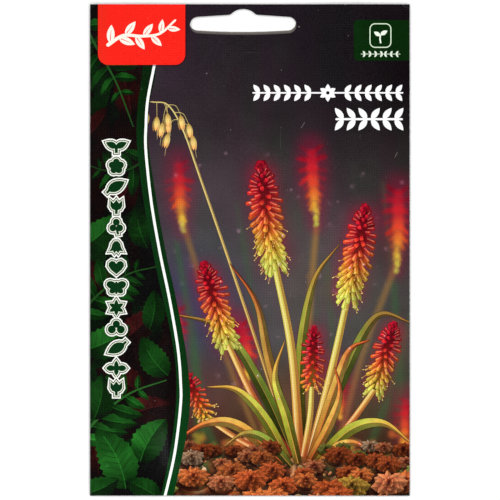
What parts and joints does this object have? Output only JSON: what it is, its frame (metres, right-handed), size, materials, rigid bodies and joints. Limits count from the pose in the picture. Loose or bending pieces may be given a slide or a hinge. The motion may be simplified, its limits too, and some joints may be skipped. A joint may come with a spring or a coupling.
{
  "type": "seed packet",
  "caption": "Flat printed paper seed packet with a euro hang slot at the top, lying on its back, with a sealed sachet of seeds inside.",
  "frame": {"origin": "middle of the packet's outline, at the level of the back panel's outer face", "axes": "+X to the right across the front as it is read, +Y up the front towards the hang slot, +Z out of the front"},
  "size_m": [0.096, 0.1476, 0.0019],
  "materials": {
    "printed_paper": "satin coated, printed in full colour",
    "hot_melt": "smooth adhesive",
    "sachet_film": "smooth translucent film",
    "seed_coat": "dull, finely pitted"
  },
  "bodies": {
    "root": {"packet_envelope": "printed_paper", "side_seam_glue_left": "hot_melt", "side_seam_glue_right": "hot_melt", "mouth_hot_melt_bead": "hot_melt", "sachet_back_web": "sachet_film", "sachet_front_web": "sachet_film", "seed_01": "seed_coat", "seed_02": "seed_coat", "seed_03": "seed_coat", "seed_04": "seed_coat", "seed_05": "seed_coat", "seed_06": "seed_coat", "seed_07": "seed_coat", "seed_08": "seed_coat", "seed_09": "seed_coat", "seed_10": "seed_coat", "seed_11": "seed_coat", "seed_12": "seed_coat", "seed_13": "seed_coat", "seed_14": "seed_coat", "seed_15": "seed_coat"}
  },
  "joints": []
}
